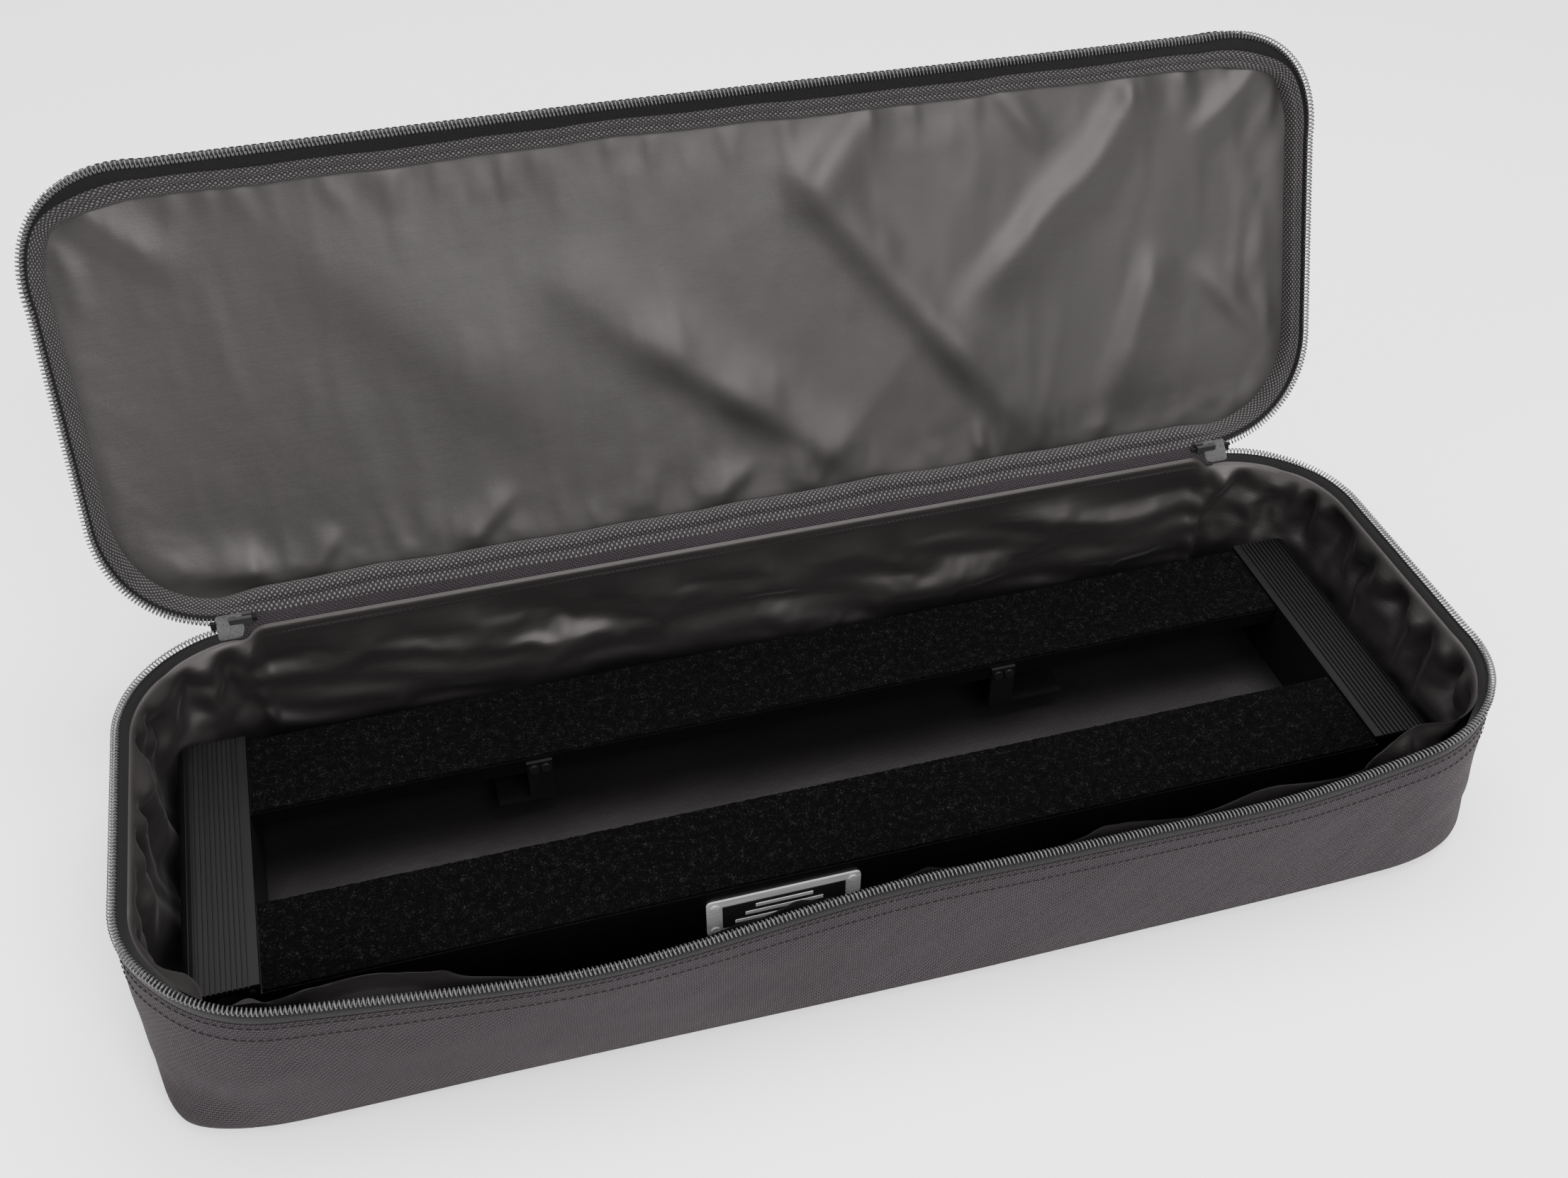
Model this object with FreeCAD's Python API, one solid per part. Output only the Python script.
"""Two-rail pedalboard lying in its padded zip bag, with the bag's lid held open.

Millimetres, +X to the right, +Y to the back, +Z up. The origin is the centre of the bag's underside.
The lid is drawn shut and then turned about the hinge line to the open pose that it rests in.
"""
import math
import os

import FreeCAD
import Part

# ---- bag, outer sizes ----
BAG_LENGTH = 650.0
BAG_DEPTH = 230.0
BAG_CORNER = 62.0
RIM_Z = 92.0
BASE_EDGE_ROUND = 14.0
LID_EDGE_ROUND = 10.0
LID_HEIGHT = 26.0
LID_OPEN_DEG = 110.0
RIM_GAP = 1.4

# ---- bag, layers ----
SHELL = 1.2
WALL_FOAM = 6.0
FLOOR_BOARD = 2.5
FLOOR_FOAM = 2.5
LINER = 0.8
FLOOR_PANEL_INSET = 20.0
SHELL_TOP_Z = 84.0
FOAM_TOP_Z = 86.0
LINER_TOP_Z = 88.0
COIL_WIDTH = 3.0
COIL_HEIGHT = 2.5
TAPE_INSET = 0.2
LID_WALL_FOAM = 3.8
LID_BOARD = 2.0
LID_FOAM = 5.0
LID_BOARD_INSET = 12.0
LID_TAPE_HEIGHT = 7.1
BINDING = 1.2
BINDING_WIDTH = 10.0

# ---- hinge side, zip ends and carrying handle ----
NOTCH_X = (256.0, 281.0)
HINGE_STRIP_TOP_Z = 91.5
TAB = (15.0, 1.6, 12.0)
TAB_X = 262.0
CHAIN = (23.0, 2.2, 5.0)
CHAIN_SET_IN = 0.3
SLIDER = (11.0, 5.4, 8.8)
SLIDER_X = 264.0
SLIDER_FIT = 0.3
SLIDER_SLOT = (2.5, 1.2)
PULL_WIDTH = 8.0
PULL_THICK = 1.6
PULL_DROP = 28.0
PULL_EYE_DROP = 7.5
PULL_ARM = 1.0
PULL_ROUND = 3.5
CROWN = (3.0, 4.0, 4.0)
PIVOT_OUT = 0.2
HANDLE_LENGTH = 200.0
HANDLE_WIDTH = 25.0
HANDLE_THICK = 2.5
HANDLE_RISE = 14.0
HANDLE_SEWN = 32.0
HANDLE_SLOPE = 30.0

# ---- board ----
BOARD_Z = 9.0
BOARD_HALF_LENGTH = 307.0
PROFILE_WIDTH = 34.0
PROFILE_TOP_Z = 48.0
PROFILE_Y = (-74.5, 80.0)
PROFILE_WALL = 2.2
PROFILE_TOP_WALL = 3.2
PROFILE_FLANGE = 9.0
PROFILE_SHOULDER = 8.0
RIB_LAND = 4.4
RIB_PITCH = 2.3
RIB_COUNT = 12
GROOVE = (0.7, 0.9)
RAIL_WIDTH = 50.0
RAIL_OUTER_Y = 78.0
RAIL_TOP_Z = 45.5
RAIL_WALL = 2.0
RAIL_SKIRT_Z = 10.0
RAIL_LIP_Z = 36.5
BOSS_RADIUS = 3.6
RAIL_SCREW_RADIUS = 2.0
RAIL_SCREW_LENGTH = 14.0
RAIL_SCREW_HEAD = (3.5, 3.0)
RAIL_SCREW_SOCKET = (1.5, 1.8)
RAIL_SCREW_FIT = 0.1
BOSS_SETBACK = 2.0
BOSS_SINK = 0.4
THREAD_FIT = 0.05
LOOP_THICK = 1.7
LOOP_INSET = 0.6
FOOT = (26.0, 22.0, 1.7)
FOOT_Y = (-58.0, 63.0)

# ---- supply brackets under the rear rail, and the badge ----
BRACKET_SHEET = 2.0
BRACKET_EDGE_X = (-127.0, 120.0)
BRACKET_STRAP = 13.0
BRACKET_FOOT = 29.0
BRACKET_FOOT_Z = 17.0
BRACKET_DEPTH = 28.0
BRACKET_TOP_Z = 44.0
BRACKET_SCREW_RADIUS = 1.5
BRACKET_SCREW_SPACING = 6.0
BRACKET_SCREW_HEAD = (2.6, 1.3)
BRACKET_CLEAR = 0.5
BADGE = (75.0, 1.0, 24.0)
BADGE_CENTRE = (-36.5, 27.0)
BADGE_ROUND = 2.5
RIVET_RADIUS = 1.3
RIVET_HEAD = (2.0, 0.6)
RIVET_INSET = 4.0

# ---- worked out ----
HALF_X = BAG_LENGTH / 2
HALF_Y = BAG_DEPTH / 2
HINGE_Z = RIM_Z + RIM_GAP / 2
LID_Z = RIM_Z + RIM_GAP
LID_TOP_Z = LID_Z + LID_HEIGHT
FOAM_INSET = SHELL + WALL_FOAM
LINER_INSET = FOAM_INSET + LINER
FLOOR_FOAM_Z = SHELL + FLOOR_BOARD
FLOOR_LINER_Z = FLOOR_FOAM_Z + FLOOR_FOAM
FLOOR_Z = FLOOR_LINER_Z + LINER
LID_SKIN_INSET = SHELL + LID_WALL_FOAM
RAIL_HALF_LENGTH = BOARD_HALF_LENGTH - PROFILE_WIDTH


def vec(x, y, z):
    return FreeCAD.Vector(x, y, z)


def box(x, y, z):
    """A block between the two values of each axis."""
    return Part.makeBox(x[1] - x[0], y[1] - y[0], z[1] - z[0], vec(x[0], y[0], z[0]))


def centred(size, centre):
    """A block of a size about a centre."""
    spans = [(c - s / 2, c + s / 2) for s, c in zip(size, centre)]
    return box(*spans)


def rod(radius, start, end):
    axis = vec(*end) - vec(*start)
    return Part.makeCylinder(radius, axis.Length, vec(*start), axis)


def mirrored(shape):
    """The same piece on the other side of the bag's middle."""
    return shape.mirror(vec(0, 0, 0), vec(1, 0, 0))


def edges_along(shape, axis):
    """The straight edges of a block that run along one axis."""
    return [e for e in shape.Edges if abs(getattr(e.tangentAt(e.FirstParameter), axis)) > 0.9]


def slab(inset, z0, z1):
    """The bag's rounded outline, drawn in by an inset, between two heights."""
    x, y = HALF_X - inset, HALF_Y - inset
    block = box((-x, x), (-y, y), (z0, z1))
    return block.makeFillet(BAG_CORNER - inset, edges_along(block, "z"))


def rounded(solid, z, radius):
    """A slab with its edge at one height rounded off."""
    rim = [e for e in solid.Edges if all(abs(v.Z - z) < 1e-6 for v in e.Vertexes)]
    return solid.makeFillet(radius, rim)


def tub(inset, floor, top):
    """What the base's outline holds above a floor, with a rounded bottom edge."""
    return rounded(slab(inset, floor, top), floor, BASE_EDGE_ROUND - inset)


def cover(inset, bottom, top):
    """What the lid's outline holds below its top, with a rounded top edge."""
    return rounded(slab(inset, bottom, top), top, LID_EDGE_ROUND - inset)


def ring(outer, inner, z0, z1):
    return slab(outer, z0, z1).cut(slab(inner, z0, z1))


def rear_block(reach, z0, z1):
    """The space at the back of the bag, this far to each side, between two heights."""
    return box((-reach, reach), (HALF_Y - 20, HALF_Y + 1), (z0, z1))


def notches(z0, z1):
    """Both gaps in the back wall that the zip's ends and sliders lie in."""
    right = box(NOTCH_X, (HALF_Y - 16, HALF_Y + 1), (z0, z1))
    return right.fuse(mirrored(right))


def opened(shape):
    """A lid piece turned from shut to its open rest pose."""
    turned = shape.copy()
    turned.rotate(vec(0, HALF_Y, HINGE_Z), vec(1, 0, 0), -LID_OPEN_DEG)
    return turned


def base_nodes():
    """Everything sewn into the lower half of the bag."""
    inside_shell = tub(SHELL, SHELL, RIM_Z + 10)
    inside_foam = tub(FOAM_INSET, FLOOR_LINER_Z, RIM_Z + 10)
    inside_liner = tub(LINER_INSET, FLOOR_Z, RIM_Z + 10)
    board_panel = slab(FLOOR_PANEL_INSET, SHELL, FLOOR_FOAM_Z)
    foam_panel = slab(FLOOR_PANEL_INSET, FLOOR_FOAM_Z, FLOOR_LINER_Z)
    under_foam_top = slab(0, 0, FOAM_TOP_Z)
    wall_foam = inside_shell.common(under_foam_top).cut(inside_foam)
    hem = ring(SHELL, FOAM_INSET, FOAM_TOP_Z, FOAM_TOP_Z + LINER)
    liner = inside_foam.common(slab(0, 0, LINER_TOP_Z)).cut(inside_liner).fuse(hem)
    no_zip = rear_block(NOTCH_X[1], SHELL_TOP_Z, RIM_Z)
    coil_z = RIM_Z - COIL_HEIGHT
    binding_y = HALF_Y - LINER_INSET
    binding_z = (LINER_TOP_Z - BINDING_WIDTH, LINER_TOP_Z)
    hinge_x = (-NOTCH_X[0], NOTCH_X[0])
    inner_skin = ring(LINER_INSET, LINER_INSET + TAB[1], RIM_Z - TAB[2], RIM_Z)
    tab = inner_skin.common(box((TAB_X, TAB_X + TAB[0]), (0, HALF_Y), (RIM_Z - TAB[2], RIM_Z)))
    return {
        "base_shell": tub(0, 0, SHELL_TOP_Z).cut(inside_shell),
        "base_wall_foam": wall_foam.cut(board_panel).cut(foam_panel),
        "base_floor_board": board_panel,
        "base_floor_foam": foam_panel,
        "base_liner": liner.cut(notches(FOAM_TOP_Z, RIM_Z)).removeSplitter(),
        "base_zip_tape": ring(TAPE_INSET, SHELL, SHELL_TOP_Z, coil_z).cut(no_zip),
        "base_zip_coil": ring(0, COIL_WIDTH, coil_z, RIM_Z).cut(no_zip),
        "base_hinge_strip": box(hinge_x, (HALF_Y - SHELL, HALF_Y), (SHELL_TOP_Z, HINGE_STRIP_TOP_Z)),
        "base_binding": box(hinge_x, (binding_y - BINDING, binding_y), binding_z),
        "end_tab_left": mirrored(tab),
        "end_tab_right": tab,
    }


def lid_nodes():
    """Everything sewn into the lid, drawn shut."""
    below = LID_Z - 10
    inside_shell = cover(SHELL, below, LID_TOP_Z - SHELL)
    board_z = LID_TOP_Z - SHELL - LID_BOARD
    foam_z = board_z - LID_FOAM
    liner_z = foam_z - LINER
    tape_z = LID_Z + COIL_HEIGHT
    shell_z = tape_z + LID_TAPE_HEIGHT
    skirt_z = tape_z + BINDING
    skin = LID_SKIN_INSET + LINER
    gaps = notches(LID_Z, liner_z)
    no_zip = rear_block(NOTCH_X[1], LID_Z, shell_z)
    wall_foam = inside_shell.common(slab(0, skirt_z, board_z)).cut(slab(LID_SKIN_INSET, skirt_z, board_z))
    skirt = ring(LID_SKIN_INSET, skin, skirt_z, liner_z)
    liner_panel = slab(LID_SKIN_INSET, liner_z, foam_z)
    lip = ring(SHELL, skin + BINDING, tape_z, skirt_z)
    band = ring(skin, skin + BINDING, skirt_z, skirt_z + BINDING_WIDTH)
    hinge_x = (-NOTCH_X[0], NOTCH_X[0])
    hinge_z = (LID_Z + RIM_Z - HINGE_STRIP_TOP_Z, shell_z)
    shell = cover(0, shell_z, LID_TOP_Z).cut(inside_shell)
    shut = {
        "lid_shell": shell.cut(gaps),
        "lid_wall_foam": wall_foam.cut(gaps),
        "lid_board": slab(LID_BOARD_INSET, board_z, LID_TOP_Z - SHELL),
        "lid_foam": slab(LID_SKIN_INSET, foam_z, board_z),
        "lid_liner": liner_panel.fuse(skirt).removeSplitter().cut(gaps),
        "lid_binding": lip.fuse(band).removeSplitter().cut(gaps),
        "lid_zip_tape": ring(TAPE_INSET, SHELL, tape_z, shell_z).cut(no_zip),
        "lid_zip_coil": ring(0, COIL_WIDTH, LID_Z, tape_z).cut(no_zip),
        "lid_hinge_strip": box(hinge_x, (HALF_Y - SHELL, HALF_Y), hinge_z),
        "carry_handle": handle(),
    }
    return {name: opened(shape) for name, shape in shut.items()}


def handle():
    """A webbing strap sewn flat to the lid at its ends and bowed up between them."""
    half, flat = HANDLE_LENGTH / 2, HANDLE_LENGTH / 2 - HANDLE_SEWN
    shoulder = flat - HANDLE_SLOPE
    low = LID_TOP_Z
    high = LID_TOP_Z + HANDLE_RISE
    under = [(half, low), (flat, low), (shoulder, high), (-shoulder, high), (-flat, low), (-half, low)]
    over = [(x, z + HANDLE_THICK) for x, z in reversed(under)]
    points = [vec(x, -HANDLE_WIDTH / 2, z) for x, z in under + over]
    face = Part.Face(Part.makePolygon(points + points[:1]))
    return face.extrude(vec(0, HANDLE_WIDTH, 0))


def zip_end_nodes():
    """The joined end of the zip's chain at each hinge corner, with its slider and pull."""
    chain_y = HALF_Y - CHAIN_SET_IN
    chain = centred(CHAIN, (NOTCH_X[0] + CHAIN[0] / 2, chain_y, HINGE_Z))
    middle = (SLIDER_X, chain_y, HINGE_Z)
    body = centred(SLIDER, middle)
    bore = (SLIDER[0] + 2, CHAIN[1] + 2 * SLIDER_FIT, CHAIN[2] + 2 * SLIDER_FIT)
    slot = box(
        (SLIDER_X - SLIDER[0], SLIDER_X + SLIDER_SLOT[0]),
        (chain_y - SLIDER_SLOT[1] / 2, chain_y + SLIDER_SLOT[1] / 2),
        (HINGE_Z - SLIDER[2], HINGE_Z + SLIDER[2]),
    )
    face_y = chain_y + SLIDER[1] / 2
    crown = box(
        (SLIDER_X - CROWN[0] / 2, SLIDER_X + CROWN[0] / 2),
        (face_y, face_y + CROWN[1]),
        (HINGE_Z - CROWN[2] / 2, HINGE_Z + CROWN[2] / 2),
    )
    pivot_y = face_y + CROWN[1] / 2 + PIVOT_OUT
    half = PULL_WIDTH / 2
    bar_radius = PULL_THICK / 2
    ends = [(SLIDER_X + side * half, pivot_y, HINGE_Z) for side in (-1, 1)]
    eye = rod(bar_radius + SLIDER_FIT, *ends)
    slider = body.cut(centred(bore, middle)).cut(slot).fuse(crown).cut(eye)
    thick = (pivot_y - bar_radius, pivot_y + bar_radius)
    arm_z = (HINGE_Z - PULL_EYE_DROP, HINGE_Z)
    pull = rod(bar_radius, *ends)
    for side in (-1, 1):
        x = sorted((SLIDER_X + side * half, SLIDER_X + side * (half - PULL_ARM)))
        pull = pull.fuse(box(x, thick, arm_z))
    plate = box((SLIDER_X - half, SLIDER_X + half), thick, (HINGE_Z - PULL_DROP, arm_z[0]))
    lower = [e for e in edges_along(plate, "y") if e.CenterOfMass.z < HINGE_Z - PULL_DROP + 1]
    pull = pull.fuse(plate.makeFillet(PULL_ROUND, lower)).removeSplitter()
    return {
        "zip_end_chain": Part.makeCompound([chain, mirrored(chain)]),
        "slider_right": slider,
        "slider_left": mirrored(slider),
        "pull_right": pull,
        "pull_left": mirrored(pull),
    }


def upper_outer_edge(block):
    """The edge of a block that runs front to back at its top and on its right-hand side."""
    return max(edges_along(block, "y"), key=lambda e: e.CenterOfMass.x + e.CenterOfMass.z)


def profile():
    """The right-hand side profile: a ribbed channel, open underneath, drawn from its section."""
    inner, outer = RAIL_HALF_LENGTH, BOARD_HALF_LENGTH
    y0, y1 = PROFILE_Y
    block = box((inner, outer), (y0, y1), (BOARD_Z, PROFILE_TOP_Z))
    block = block.makeFillet(PROFILE_SHOULDER, [upper_outer_edge(block)])
    inside = (inner + PROFILE_WALL, outer - PROFILE_WALL)
    cavity = box(inside, (y0, y1), (BOARD_Z + PROFILE_WALL, PROFILE_TOP_Z - PROFILE_TOP_WALL))
    cavity = cavity.makeFillet(PROFILE_SHOULDER - PROFILE_WALL, [upper_outer_edge(cavity)])
    between_flanges = (inner + PROFILE_FLANGE, outer - PROFILE_FLANGE)
    mouth = box(between_flanges, (y0, y1), (BOARD_Z, BOARD_Z + PROFILE_WALL))
    shape = block.cut(cavity).cut(mouth)
    for k in range(RIB_COUNT):
        x = inner + RIB_LAND + k * RIB_PITCH
        over = max(0.0, x + GROOVE[0] / 2 - (outer - PROFILE_SHOULDER))
        surface = PROFILE_TOP_Z - PROFILE_SHOULDER + math.sqrt(PROFILE_SHOULDER**2 - over**2)
        shape = shape.cut(box((x, x + GROOVE[0]), (y0, y1), (surface - GROOVE[1], PROFILE_TOP_Z + 1)))
    for y, z in boss_places():
        hole_radius = RAIL_SCREW_RADIUS + RAIL_SCREW_FIT
        shape = shape.cut(rod(hole_radius, (inner - 1, y, z), (inner + PROFILE_WALL + 1, y, z)))
    return shape


def boss_places():
    """Where the rails' four screw channels run, as y and z."""
    z = RAIL_TOP_Z - RAIL_WALL - BOSS_RADIUS + BOSS_SINK
    setback = RAIL_WALL + BOSS_RADIUS + BOSS_SETBACK
    near = RAIL_OUTER_Y - setback
    far = RAIL_OUTER_Y - RAIL_WIDTH + setback
    return [(-near, z), (-far, z), (far, z), (near, z)]


def rail(side):
    """A rail: a channel with a tall skirt at the board's outside and a short lip at its inside."""
    half = RAIL_HALF_LENGTH
    x = (-half, half)
    outer = side * RAIL_OUTER_Y
    inner = side * (RAIL_OUTER_Y - RAIL_WIDTH)
    skin = side * RAIL_WALL
    top = box(x, sorted((outer, inner)), (RAIL_TOP_Z - RAIL_WALL, RAIL_TOP_Z))
    skirt = box(x, sorted((outer, outer - skin)), (RAIL_SKIRT_Z, RAIL_TOP_Z))
    lip = box(x, sorted((inner, inner + skin)), (RAIL_LIP_Z, RAIL_TOP_Z))
    shape = top.fuse(skirt).fuse(lip)
    channels = [(y, z) for y, z in boss_places() if y * side > 0]
    for y, z in channels:
        shape = shape.fuse(rod(BOSS_RADIUS, (-half, y, z), (half, y, z)))
    for y, z in channels:
        shape = shape.cut(rod(RAIL_SCREW_RADIUS + THREAD_FIT, (-half, y, z), (half, y, z)))
    return shape.removeSplitter()


def rail_screws():
    """Eight cap screws, from inside the side profiles into the ends of the rails."""
    screws = []
    head_x = RAIL_HALF_LENGTH + PROFILE_WALL
    for y, z in boss_places():
        shank = rod(RAIL_SCREW_RADIUS, (head_x - RAIL_SCREW_LENGTH, y, z), (head_x, y, z))
        top_x = head_x + RAIL_SCREW_HEAD[1]
        head = rod(RAIL_SCREW_HEAD[0], (head_x, y, z), (top_x, y, z))
        socket = rod(RAIL_SCREW_SOCKET[0], (top_x - RAIL_SCREW_SOCKET[1], y, z), (top_x + 1, y, z))
        screw = shank.fuse(head).cut(socket)
        screws += [screw, mirrored(screw)]
    return Part.makeCompound(screws)


def bracket(edge_x, foot_side):
    """A bent bracket that hangs from the rear rail's lip. Its strap is on the web's left side."""
    front = RAIL_OUTER_Y - RAIL_WIDTH
    sheet = BRACKET_SHEET
    strap = box((edge_x - BRACKET_STRAP, edge_x), (front - sheet, front), (BRACKET_FOOT_Z, BRACKET_TOP_Z))
    depth = (front - sheet, front - sheet + BRACKET_DEPTH)
    web = box((edge_x - sheet, edge_x), depth, (BRACKET_FOOT_Z, RAIL_LIP_Z - BRACKET_CLEAR))
    foot_x = sorted((edge_x, edge_x + foot_side * BRACKET_FOOT))
    foot = box(foot_x, depth, (BRACKET_FOOT_Z, BRACKET_FOOT_Z + sheet))
    shape = strap.fuse(web).fuse(foot).removeSplitter()
    for hole in bracket_holes(edge_x, BRACKET_SCREW_RADIUS + THREAD_FIT):
        shape = shape.cut(hole)
    return shape


def bracket_holes(edge_x, radius):
    """The two screw shanks, or their holes, through one bracket's strap and the rail's lip."""
    front = RAIL_OUTER_Y - RAIL_WIDTH
    z = (RAIL_LIP_Z + RAIL_TOP_Z - RAIL_WALL) / 2
    middle = edge_x - BRACKET_STRAP / 2
    places = [middle - BRACKET_SCREW_SPACING / 2, middle + BRACKET_SCREW_SPACING / 2]
    return [rod(radius, (x, front - BRACKET_SHEET, z), (x, front + RAIL_WALL + 1, z)) for x in places]


def bracket_screws():
    screws = []
    for edge_x in BRACKET_EDGE_X:
        for shank in bracket_holes(edge_x, BRACKET_SCREW_RADIUS):
            x, z = shank.CenterOfMass.x, shank.CenterOfMass.z
            face = RAIL_OUTER_Y - RAIL_WIDTH - BRACKET_SHEET
            head = rod(BRACKET_SCREW_HEAD[0], (x, face - BRACKET_SCREW_HEAD[1], z), (x, face, z))
            screws.append(shank.fuse(head))
    return Part.makeCompound(screws)


def badge_nodes():
    """A plain plate on the front rail's skirt, held by a rivet at each corner."""
    x, z = BADGE_CENTRE
    back = -RAIL_OUTER_Y
    plate = centred(BADGE, (x, back - BADGE[1] / 2, z))
    plate = plate.makeFillet(BADGE_ROUND, edges_along(plate, "y"))
    rivets = []
    for dx in (-1, 1):
        for dz in (-1, 1):
            rx = x + dx * (BADGE[0] / 2 - RIVET_INSET)
            rz = z + dz * (BADGE[2] / 2 - RIVET_INSET)
            face = back - BADGE[1]
            shank = rod(RIVET_RADIUS, (rx, face, rz), (rx, back, rz))
            head = rod(RIVET_HEAD[0], (rx, face - RIVET_HEAD[1], rz), (rx, face, rz))
            plate = plate.cut(shank)
            rivets.append(shank.fuse(head))
    return {"badge_plate": plate, "badge_rivets": Part.makeCompound(rivets)}


def loop_strip(side):
    """Soft loop tape over the whole top of a rail."""
    edges = sorted((side * (RAIL_OUTER_Y - LOOP_INSET), side * (RAIL_OUTER_Y - RAIL_WIDTH + LOOP_INSET)))
    half = RAIL_HALF_LENGTH - LOOP_INSET
    return box((-half, half), edges, (RAIL_TOP_Z, RAIL_TOP_Z + LOOP_THICK))


def board_nodes():
    """The rigid board, which lifts out of the bag."""
    rear_rail = rail(1)
    for edge_x in BRACKET_EDGE_X:
        for hole in bracket_holes(edge_x, BRACKET_SCREW_RADIUS + THREAD_FIT):
            rear_rail = rear_rail.cut(hole)
    foot_x = BOARD_HALF_LENGTH - PROFILE_WIDTH / 2
    feet = [centred(FOOT, (x, y, BOARD_Z - FOOT[2] / 2)) for x in (-foot_x, foot_x) for y in FOOT_Y]
    nodes = {
        "profile_right": profile(),
        "profile_left": mirrored(profile()),
        "front_rail": rail(-1),
        "rear_rail": rear_rail,
        "front_loop_strip": loop_strip(-1),
        "rear_loop_strip": loop_strip(1),
        "bracket_left": bracket(BRACKET_EDGE_X[0], -1),
        "bracket_right": bracket(BRACKET_EDGE_X[1], 1),
        "rail_screws": rail_screws(),
        "bracket_screws": bracket_screws(),
        "rubber_feet": Part.makeCompound(feet),
    }
    nodes.update(badge_nodes())
    return nodes


def main():
    os.makedirs("parts", exist_ok=True)
    nodes = {}
    for group in (base_nodes, lid_nodes, zip_end_nodes, board_nodes):
        nodes.update(group())
    for name, shape in nodes.items():
        if not shape.isValid():
            raise ValueError(name + " is not a valid solid")
        shape.exportStep(os.path.join("parts", name + ".step"))
        size = shape.BoundBox
        print(f"{name:18s} {len(shape.Solids)} solids, {size.XLength:.1f} x {size.YLength:.1f} x {size.ZLength:.1f}")


main()
